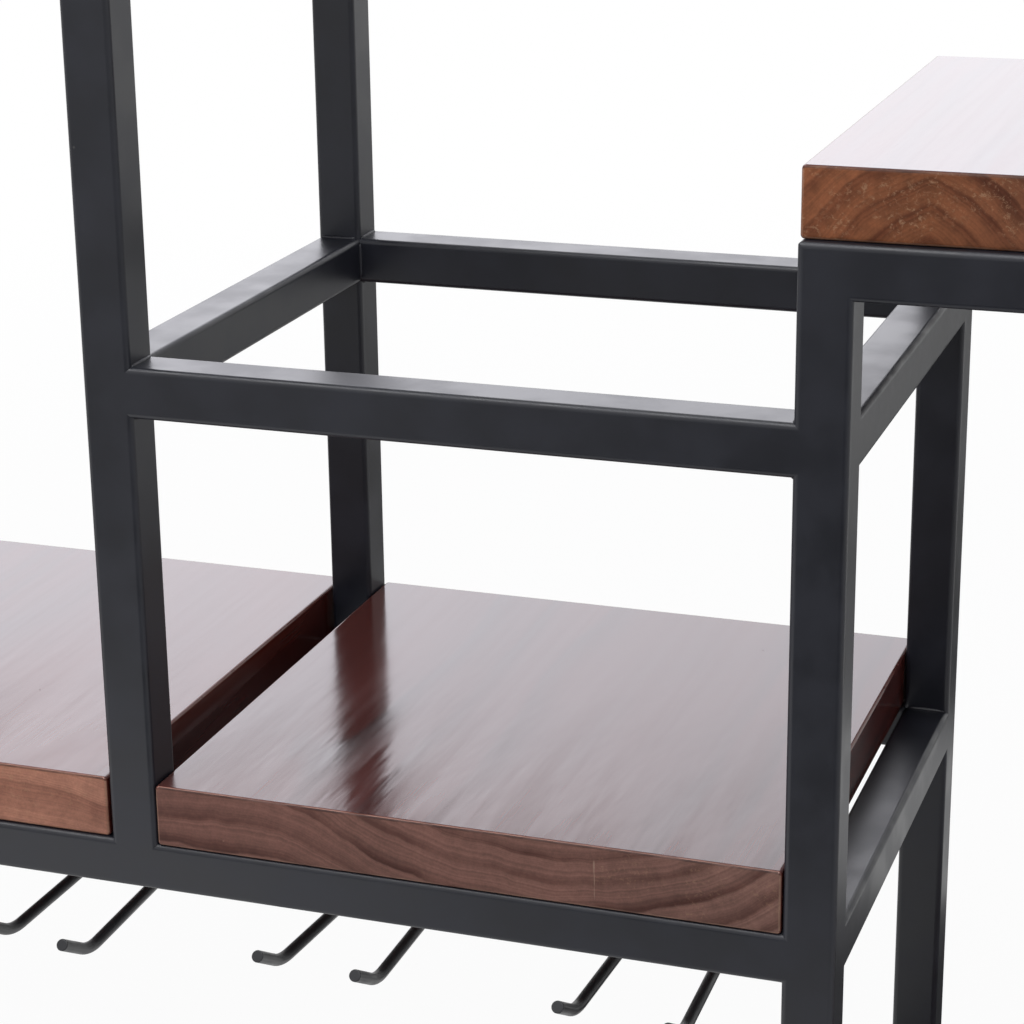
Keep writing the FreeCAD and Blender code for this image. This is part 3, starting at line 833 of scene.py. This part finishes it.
def bead_tree(name):
    """Geometry nodes: round weld beads with ripples along loose edges."""
    tree, given, out = new_modifier(name, {
        "Lines": "Geometry", "Radius": 0.001, "Ripple": 0.2, "Seed": 0, "Material": "Material"}, "Beads")
    curve = output(tree, "GeometryNodeMeshToCurve", 0, {0: given["Lines"]})
    curve = output(tree, "GeometryNodeResampleCurve", 0, {"Curve": curve, "Count": BEAD_POINTS})
    along = output(tree, "GeometryNodeSplineParameter", "Factor")
    taper = maths("POWER", along * (1.0 - along) * 4.0, 0.28)
    ripple = output(tree, "ShaderNodeTexNoise", 0, {
        "W": given["Seed"], "Scale": 620.0, "Detail": 1.0}, noise_dimensions="4D")
    swell = (ripple - 0.5) * (given["Ripple"] * 3.0) + 1.0
    curve = output(tree, "GeometryNodeSetCurveRadius", 0, {
        "Curve": curve, "Radius": taper * swell * given["Radius"]})
    ring = output(tree, "GeometryNodeCurvePrimitiveCircle", 0, {"Resolution": BEAD_SIDES, "Radius": 1.0})
    skin = sweep(curve, ring, output(tree, "GeometryNodeInputRadius"))
    smooth = output(tree, "GeometryNodeSetShadeSmooth", 0, {0: skin})
    realize(smooth, given["Material"], out)
    return tree


def stain_at(staves, own, x):
    """Stain of a stave, half way to its neighbour's where the two are glued together."""
    for left, right in zip(staves, staves[1:]):
        if abs(x - left.right) < MM:
            return (Vector(left.stain) + Vector(right.stain)) / 2
    return Vector(own.stain)


def board_mesh(name, low, high, edge, staves):
    """A board with rounded edges, cut at its glue lines, with each stave's figure kept on its faces."""
    bm = bmesh.new()
    bmesh.ops.create_cube(bm, size=1.0)
    shape = Matrix.Translation((low + high) / 2) @ Matrix.Diagonal((*(high - low), 1))
    bmesh.ops.transform(bm, verts=bm.verts, matrix=shape)
    bmesh.ops.bevel(bm, geom=bm.edges[:], offset=edge, segments=EDGE_STEPS, profile=0.5, affect="EDGES")
    for stave in staves[:-1]:
        geometry = bm.verts[:] + bm.edges[:] + bm.faces[:]
        bmesh.ops.bisect_plane(bm, geom=geometry, plane_co=(stave.right, 0, 0), plane_no=(1, 0, 0))
    bm.normal_update()
    for face in bm.faces:
        face.smooth = True
        face.material_index = 1 if abs(face.normal.y) > 0.7 else 0
    mesh = bpy.data.meshes.new(name)
    close_mesh(bm, mesh)
    heart = mesh.attributes.new("heart", "FLOAT_VECTOR", "FACE")
    stave_data = mesh.attributes.new("stave", "FLOAT_VECTOR", "FACE")
    stain = mesh.attributes.new("stain", "FLOAT_VECTOR", "CORNER")
    for face in mesh.polygons:
        own = next(stave for stave in staves if face.center.x < stave.right)
        heart.data[face.index].vector = (own.heart_x, own.heart_z, own.rings)
        stave_data.data[face.index].vector = (own.phase, own.right if own.glue else NO_GLUE, own.torn)
        for corner in face.loop_indices:
            x = mesh.vertices[mesh.loops[corner].vertex_index].co.x
            stain.data[corner].vector = stain_at(staves, own, x)
    return mesh


def lathe(bm, profile, steps):
    """Turn a profile of radius and height pairs about Z, closed where the radius is 0, and give its rings."""
    rings = []
    for radius, height in profile:
        if radius == 0:
            rings.append([bm.verts.new((0, 0, height))])
            continue
        angles = [2 * math.pi * i / steps for i in range(steps)]
        rings.append([bm.verts.new((radius * math.cos(a), radius * math.sin(a), height)) for a in angles])
    for lower, upper in zip(rings, rings[1:]):
        bridge(bm, lower, upper, True)
    return rings


def screw_mesh(name, sizes, total):
    """One pan-head screw with a cross recess, head down, with its shank up to its point."""
    head = sizes.screw_head / 2
    head_height = sizes.screw_head_height
    shank = 2.0 * MM
    point = 3.5 * MM
    slot = 0.52 * MM
    reach = 0.50 * head
    narrowing = 0.72
    bm = bmesh.new()
    profile = [(0.66 * head, 0.0), (0.84 * head, 0.10 * head_height), (0.95 * head, 0.30 * head_height),
               (head, 0.62 * head_height), (head, head_height), (shank, head_height),
               (shank, total - point), (0, total)]
    foot = lathe(bm, profile, SCREW_SIDES)[0]
    cross = [(reach, -slot), (reach, slot), (slot, slot), (slot, reach), (-slot, reach), (-slot, slot),
             (-reach, slot), (-reach, -slot), (-slot, -slot), (-slot, -reach), (slot, -reach), (slot, -slot)]
    mouth = [bm.verts.new((x, y, 0)) for x, y in cross]
    floor = [bm.verts.new((x * narrowing, y * narrowing, sizes.screw_recess)) for x, y in cross]
    count = len(cross)
    rim = [bm.edges.new((mouth[i], mouth[(i + 1) % count])) for i in range(count)]
    outer = [bm.edges.get((foot[i], foot[(i + 1) % SCREW_SIDES])) for i in range(SCREW_SIDES)]
    bridge(bm, floor, mouth, False)
    bm.faces.new(floor)
    bmesh.ops.triangle_fill(bm, edges=rim + outer, use_beauty=True)
    mesh = bpy.data.meshes.new(name)
    close_mesh(bm, mesh)
    return mesh


def screws_tree(name):
    """Geometry nodes: one screw at every point."""
    tree, given, out = new_modifier(name, {
        "Places": "Geometry", "Screw": "Object", "Turn": 0.6, "Seed": 0, "Material": "Material"}, "Screws")
    points = output(tree, "GeometryNodeMeshToPoints", 0, {"Mesh": given["Places"]})
    screw = output(tree, "GeometryNodeObjectInfo", "Geometry", {"Object": given["Screw"]})
    turn = output(tree, "FunctionNodeRandomValue", 1, {
        2: 0.0, 3: given["Turn"], "Seed": given["Seed"]}, data_type="FLOAT")
    angle = output(tree, "ShaderNodeCombineXYZ", 0, {"Z": turn})
    rotation = output(tree, "FunctionNodeEulerToRotation", 0, {0: angle})
    placed = output(tree, "GeometryNodeInstanceOnPoints", 0, {
        "Points": points, "Instance": screw, "Rotation": rotation})
    realize(placed, given["Material"], out)
    return tree


class Bow(NamedTuple):
    """How a hand-bent rod strays from its straight line, in metres."""

    front: float    # to the right, at the foot of the tip
    middle: float   # to the right, half way along
    sag: float      # down, at the foot of the tip
    reach: float    # forwards


def rod_path(name, low, high, sizes, bow):
    """Corner points of a stemware rod's wire as a mesh of edges, with each corner's bend."""
    radius = (high.x - low.x) / 2
    x = (low.x + high.x) / 2
    back = high.y - radius
    level = low.z + radius
    rise = Vector((0, -math.cos(sizes.tip_rise), math.sin(sizes.tip_rise)))
    reach = sizes.tip_length + sizes.tip_bend * math.tan(sizes.tip_rise / 2)
    end_y = low.y + radius * math.sin(sizes.tip_rise)
    foot = Vector((x + bow.front, end_y - rise.y * reach - bow.reach, level - bow.sag))
    half_way = Vector((x + bow.middle, (back + foot.y) / 2, level - bow.sag * 0.5))
    points = (Vector((x, back, high.z)), Vector((x, back, level)), half_way, foot, foot + rise * reach)
    mesh = loose_mesh(name, points, [(0, 1), (1, 2), (2, 3), (3, 4)])
    bend = mesh.attributes.new("bend", "FLOAT", "POINT")
    bend.data.foreach_set("value", (0.0, sizes.rod_bend, sizes.rod_bow, sizes.tip_bend, 0.0))
    return mesh, radius


def rod_tree(name):
    """Geometry nodes: a round wire with bends along a path of edges."""
    tree, given, out = new_modifier(name, {
        "Path": "Geometry", "Radius": 0.002, "Material": "Material"}, "Wire")
    curve = output(tree, "GeometryNodeMeshToCurve", 0, {0: given["Path"]})
    bend = output(tree, "GeometryNodeInputNamedAttribute", 0, {"Name": "bend"}, data_type="FLOAT")
    bent = output(tree, "GeometryNodeFilletCurve", 0, {
        "Curve": curve, "Radius": bend, "Count": BEND_STEPS}, mode="POLY")
    ring = output(tree, "GeometryNodeCurvePrimitiveCircle", 0, {
        "Resolution": WIRE_SIDES, "Radius": given["Radius"]})
    realize(sweep(bent, ring), given["Material"], out)
    return tree


def ease_cut_ends(mesh, offset):
    """Break the sharp edges of the cut ends of a wire, and shade the wire smoothly."""
    bm = bmesh.new()
    bm.from_mesh(mesh)
    cuts = {edge for face in bm.faces if len(face.verts) > 4 for edge in face.edges}
    bmesh.ops.bevel(bm, geom=list(cuts), offset=offset, segments=CUT_STEPS, profile=0.5, affect="EDGES")
    for face in bm.faces:
        face.smooth = True
    close_mesh(bm, mesh)


# Studio

# Soft boxes: name, place, what each faces, width and height, levels of its foot and middle, shares of the
# middle's level at its head and right side, tint, and whether gloss sees it
LAMPS = (
    ("front_softbox", (-0.30, -1.25, 1.05), (0.25, -0.10, -0.30), (2.2, 1.9),
     1.58, 1.58, 1.0, 1.0, (1.0, 1.0, 1.0), False),
    ("back_softbox", (-0.95, 2.45, 0.82), (-0.35, -0.10, -0.20), (3.1, 1.9),
     0.70, 2.25, 0.75, 0.88, (0.985, 0.98, 1.08), True),
)

# Cards for the gloss alone: name, corners, how bright each looks, and its height over the floor
CARDS = (
    ("side_card", ((0.345, -0.15), (0.69, -0.15), (0.69, 1.0), (1.05, 2.6), (0.55, 2.6),
                   (0.345, 1.0)), 0.06),
    ("tie_card", ((0.40, 0.22), (0.69, 0.22), (0.69, 0.42), (0.40, 0.42)), 0.80, 4 * MM),
    ("front_card", ((0.06, -0.62), (0.06, -1.45), (-0.2, -1.45), (-0.2, -2.8), (1.6, -2.8),
                    (1.6, -0.62)), 0.14),
    ("middle_card", ((-0.6, -0.76), (-0.6, -1.12), (0.06, -1.12), (0.06, -0.76)), 0.25),
    ("near_card", ((-0.8, -0.32), (-0.8, -0.72), (0.12, -0.72), (0.12, -0.32)), 1.45),
    ("left_card", ((-0.42, -1.14), (-1.4, -1.14), (-1.4, -1.49), (-0.42, -1.49)), 0.30),
    ("far_card", ((-0.45, -1.5), (-1.6, -1.5), (-4.0, -4.0), (-4.0, -6.8), (1.6, -6.8), (1.6, -2.9),
                  (-0.25, -2.9)), 0.70),
    ("overhead_card", ((-1.0, -0.45), (1.4, -0.45), (1.4, -0.96), (-1.0, -0.96)), 9.0, 1.8),
)

FLOOR_HALF = 7.0
FLOOR_CORNERS = tuple((x * FLOOR_HALF, y * FLOOR_HALF) for x, y in ((-1, -1), (1, -1), (1, 1), (-1, 1)))
WHITE = (1, 1, 1, 1)


def flat_sheet(name, corners, z, material):
    """A level sheet of the studio."""
    mesh = bpy.data.meshes.new(name)
    mesh.from_pydata([(x, y, z) for x, y in corners], [], [tuple(range(len(corners)))])
    mesh.materials.append(material)
    return add_object(name, mesh)


# Operators: one for each kind of piece

class WINERACK_OT_stage(bpy.types.Operator):
    """Set the camera, the pale floor, the room light, the soft lamps and the cards"""

    bl_idname = "wine_rack.stage"
    bl_label = "Studio"

    def execute(self, context):
        studio = context.scene.wine_rack_studio
        context.scene.view_settings.view_transform = "Standard"
        self.set_camera(context, studio)
        self.set_floor(studio)
        self.set_room(context, studio)
        for lamp in LAMPS:
            self.add_lamp(*lamp)
        for card in CARDS:
            self.add_card(*card)
        return {"FINISHED"}

    def set_camera(self, context, studio):
        """Camera at the photograph's angle and framing."""
        data = bpy.data.cameras.new("camera")
        data.lens = studio.camera_lens
        data.sensor_width = 36.0
        data.clip_start = 0.01
        camera = add_object("camera", data)
        turn = (Matrix.Rotation(studio.camera_yaw, 4, "Z")
                @ Matrix.Rotation(math.pi / 2 + studio.camera_pitch, 4, "X")
                @ Matrix.Rotation(studio.camera_roll, 4, "Z"))
        camera.matrix_world = Matrix.Translation(studio.camera_place) @ turn
        context.scene.camera = camera

    def set_floor(self, studio):
        """A wide pale floor under the rack. It takes the rack's shadow."""
        material, shader, place = new_material("pale_floor")
        cloud = noise(place, 3.0, 3.0)
        tint = mix(cloud, opaque(studio.floor_tint, 0.985), opaque(studio.floor_tint))
        fill_all(shader, {"Base Color": tint, "Roughness": 0.9, "Specular IOR Level": 0.1})
        z = CAD_BOX[0][2] - MM
        away = vector_maths("LENGTH", {0: vector_maths("SUBTRACT", {0: place, 1: (0.25, -0.10, z)})}, "Value")
        white = output(place.tree, "ShaderNodeEmission", 0, {"Color": WHITE, "Strength": 1.0})
        surface = studio_mix(Value(shader.outputs[0]), white, step(away, 0.9, 2.0, 0.94, 1.0))
        fill(place.tree.nodes["Material Output"].inputs["Surface"], surface)
        floor = flat_sheet("floor", FLOOR_CORNERS, z, material)

    def set_room(self, context, studio):
        """Even room light. Camera and gloss see it as white."""
        world = bpy.data.worlds.new("studio")
        context.scene.world = world
        world.use_nodes = True
        tree = world.node_tree
        light = tree.nodes["Background"]
        fill_all(light, {"Color": WHITE, "Strength": studio.sky_level})
        white = output(tree, "ShaderNodeBackground", 0, {"Color": WHITE, "Strength": 1.0})
        surface = studio_mix(Value(light.outputs[0]), white, 1.0)
        fill(tree.nodes["World Output"].inputs["Surface"], surface)

    def add_card(self, name, corners, level, height=2 * MM):
        """A dark or bright card on the floor or overhead. Only gloss sees it."""
        material = bpy.data.materials.new(name)
        material.use_nodes = True
        tree = material.node_tree
        grey = output(tree, "ShaderNodeEmission", 0, {"Color": (level, level, level, 1), "Strength": 1.0})
        fill(tree.nodes["Material Output"].inputs["Surface"], grey)
        card = flat_sheet(name, corners, CAD_BOX[0][2] + height, material)
        for ray in ("camera", "diffuse", "transmission", "shadow"):
            setattr(card, f"visible_{ray}", False)

    def add_lamp(self, name, place, target, size, foot, middle, head, right, tint, mirrored):
        """A soft box that looks as many times as bright as white as its levels say."""
        data = bpy.data.lights.new(name, "AREA")
        data.shape = "RECTANGLE"
        data.size, data.size_y = size
        data.energy = math.pi * size[0] * size[1]
        data.color = tint
        data.use_nodes = True
        tree = data.node_tree
        left, up, _ = split(output(tree, "ShaderNodeNewGeometry", "Parametric"))
        level = step(up, 0.05, 0.50, foot, middle) * step(up, 0.38, 0.75, 1.0, head)
        level = level * step(left, 0.22, 0.62, right, 2.0 - right)
        fill(tree.nodes["Emission"].inputs["Strength"], level)
        lamp = add_object(name, data)
        facing = (Vector(target) - Vector(place)).to_track_quat("-Z", "Y")
        lamp.matrix_world = Matrix.Translation(place) @ facing.to_matrix().to_4x4()
        lamp.visible_camera = False
        lamp.visible_glossy = mirrored


class WINERACK_OT_tubes(bpy.types.Operator):
    """Coat the tubes of the frame, and fill the welds that are ground flush"""

    bl_idname = "wine_rack.tubes"
    bl_label = "Tube frame"

    def execute(self, context):
        finishes = context.scene.wine_rack_finishes
        coat = coat_material("satin_coat", finishes.frame_coat, finishes.frame_roughness, TUBE_PEEL)
        for name in nodes_with("frame_coat"):
            give_material(name, coat)
        bm = bmesh.new()
        for name, axis, way in BUTT_ENDS:
            add_plug(bm, *butt_end(name, axis, way), TUBE_CORNER)
        mesh = bpy.data.meshes.new("flush_welds")
        bmesh.ops.recalc_face_normals(bm, faces=bm.faces)
        bm.to_mesh(mesh)
        bm.free()
        mesh.set_sharp_from_angle(angle=WELD_CREASE)
        new_piece("flush_welds", weight_normals(mesh), "frame_coat", coat)
        return {"FINISHED"}


class WINERACK_OT_beads(bpy.types.Operator):
    """Run weld beads along the inner corners of the frame and the legs of the stemware rods"""

    bl_idname = "wine_rack.beads"
    bl_label = "Weld beads"

    def execute(self, context):
        sizes = context.scene.wine_rack_sizes
        coat = bpy.data.materials["satin_coat"]
        tree = once("Weld bead", bead_tree)
        for name, lines, radius in (("corner_beads", bead_lines(), sizes.bead_radius),
                                    ("rod_tacks", tack_lines(), sizes.tack_radius)):
            ends = [end for line in lines for end in line]
            source = loose_mesh(f"{name}_lines", ends, [(i, i + 1) for i in range(0, len(ends), 2)])
            mesh = grown_mesh(name, source, tree, {
                "Radius": radius, "Ripple": sizes.bead_ripple, "Seed": sizes.pattern_seed, "Material": coat})
            bm = bmesh.new()
            bm.from_mesh(mesh)
            close_mesh(bm, mesh)
            new_piece(name, mesh, "frame_coat")
        return {"FINISHED"}


class WINERACK_OT_boards(bpy.types.Operator):
    """Build the five edge-glued boards with their grain, rings and varnish"""

    bl_idname = "wine_rack.boards"
    bl_label = "Boards"

    def execute(self, context):
        sizes = context.scene.wine_rack_sizes
        finishes = context.scene.wine_rack_finishes
        face = board_face_material(finishes)
        end = board_end_material(finishes)
        for name, staves in STAVES.items():
            low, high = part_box(name)
            high = high + Vector((END_REACH.get(name, 0.0), 0, 0))
            mesh = weight_normals(board_mesh(f"{name}_wood", low, high, sizes.board_edge, staves))
            piece = new_piece(f"{name}_wood", mesh, "varnished_wood", face, end)
            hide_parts(name)
        return {"FINISHED"}


class WINERACK_OT_screws(bpy.types.Operator):
    """Drive four pan-head screws up through the rails into each board"""

    bl_idname = "wine_rack.screws"
    bl_label = "Board screws"

    def execute(self, context):
        sizes = context.scene.wine_rack_sizes
        metal = screw_material(context.scene.wine_rack_finishes)
        tree = once("Screws", screws_tree)
        inset = sizes.screw_head / 2
        for step_seed, name in enumerate(nodes_with("screw_steel")):
            low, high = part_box(name)
            one = bpy.data.objects.new("one_screw", screw_mesh("one_screw", sizes, high.z - low.z))
            across = (low.x + inset, high.x - inset)
            deep = (low.y + inset, high.y - inset)
            places = loose_mesh(f"{name}_places", [(x, y, low.z) for x in across for y in deep])
            mesh = grown_mesh(f"{name}_cut", places, tree, {
                "Screw": one, "Turn": math.pi / 2, "Seed": sizes.pattern_seed + step_seed, "Material": metal})
            bpy.data.objects.remove(one)
            mesh.set_sharp_from_angle(angle=SCREW_CREASE)
            piece = new_piece(f"{name}_cut", mesh, "screw_steel")
            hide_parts(name)
        return {"FINISHED"}


class WINERACK_OT_rods(bpy.types.Operator):
    """Bend the stemware rods from round wire and coat them"""

    bl_idname = "wine_rack.rods"
    bl_label = "Stemware rods"

    # How each rod strays: right at its front, right half way along, down and forwards, in millimetres
    BOWS = {
        "glass_rod_1_left": (-1.0, 3.0, 1.0, 0.3), "glass_rod_1_right": (0.5, 0.2, 0.8, 1.0),
        "glass_rod_2_left": (-0.6, 4.0, 2.0, 0.0), "glass_rod_2_right": (-0.4, 0.2, 2.5, 1.5),
        "glass_rod_3_left": (1.2, 5.6, 4.8, 0.0), "glass_rod_3_right": (-0.7, 0.1, 5.6, 3.3),
        "glass_rod_4_left": (-1.6, 5.6, 0.7, -0.5), "glass_rod_4_right": (-0.1, 0.1, 1.4, 0.7),
        "glass_rod_5_left": (-2.0, 2.3, 1.1, 0.9), "glass_rod_5_right": (1.7, -0.4, 0.6, 4.5),
    }

    def execute(self, context):
        sizes = context.scene.wine_rack_sizes
        finishes = context.scene.wine_rack_finishes
        coat = coat_material("rod_satin_coat", finishes.rod_coat, ROD_ROUGHNESS, ROD_PEEL)
        tree = once("Rod wire", rod_tree)
        for name in nodes_with("rod_coat"):
            low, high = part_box(name)
            bow = Bow(*(part * MM for part in self.BOWS[name]))
            path, radius = rod_path(f"{name}_path", low, high, sizes, bow)
            mesh = grown_mesh(f"{name}_wire", path, tree, {"Radius": radius, "Material": coat})
            ease_cut_ends(mesh, ROD_CUT)
            piece = new_piece(f"{name}_wire", weight_normals(mesh), "rod_coat")
            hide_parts(name)
        return {"FINISHED"}


class WINERACK_PT_panel(bpy.types.Panel):
    """Lists the rack's pieces, sizes and finishes"""

    bl_idname = "WINERACK_PT_panel"
    bl_label = "Wine Rack"
    bl_space_type = "VIEW_3D"
    bl_region_type = "UI"
    bl_category = "Wine Rack"

    def draw(self, context):
        for operator in OPERATORS:
            self.layout.operator(operator.bl_idname)
        for key, group in GROUPS:
            box = self.layout.box()
            for setting in group.__annotations__:
                box.prop(getattr(context.scene, key), setting)


OPERATORS = (WINERACK_OT_stage, WINERACK_OT_tubes, WINERACK_OT_beads, WINERACK_OT_boards,
             WINERACK_OT_screws, WINERACK_OT_rods)
GROUPS = (("wine_rack_sizes", RackSizes), ("wine_rack_finishes", RackFinishes),
          ("wine_rack_studio", RackStudio))


def register():
    """Register the properties, the operators and the panel."""
    for key, group in GROUPS:
        bpy.utils.register_class(group)
        setattr(bpy.types.Scene, key, PointerProperty(type=group))
    for operator in OPERATORS:
        bpy.utils.register_class(operator)
    bpy.utils.register_class(WINERACK_PT_panel)


def unregister():
    """Take the panel, the operators and the properties away again."""
    bpy.utils.unregister_class(WINERACK_PT_panel)
    for operator in reversed(OPERATORS):
        bpy.utils.unregister_class(operator)
    for key, group in reversed(GROUPS):
        delattr(bpy.types.Scene, key)
        bpy.utils.unregister_class(group)


def main():
    """Make every piece in order."""
    register()
    bpy.ops.wine_rack.stage()
    bpy.ops.wine_rack.tubes()
    bpy.ops.wine_rack.beads()
    bpy.ops.wine_rack.boards()
    bpy.ops.wine_rack.screws()
    bpy.ops.wine_rack.rods()


if __name__ == "__main__":
    main()
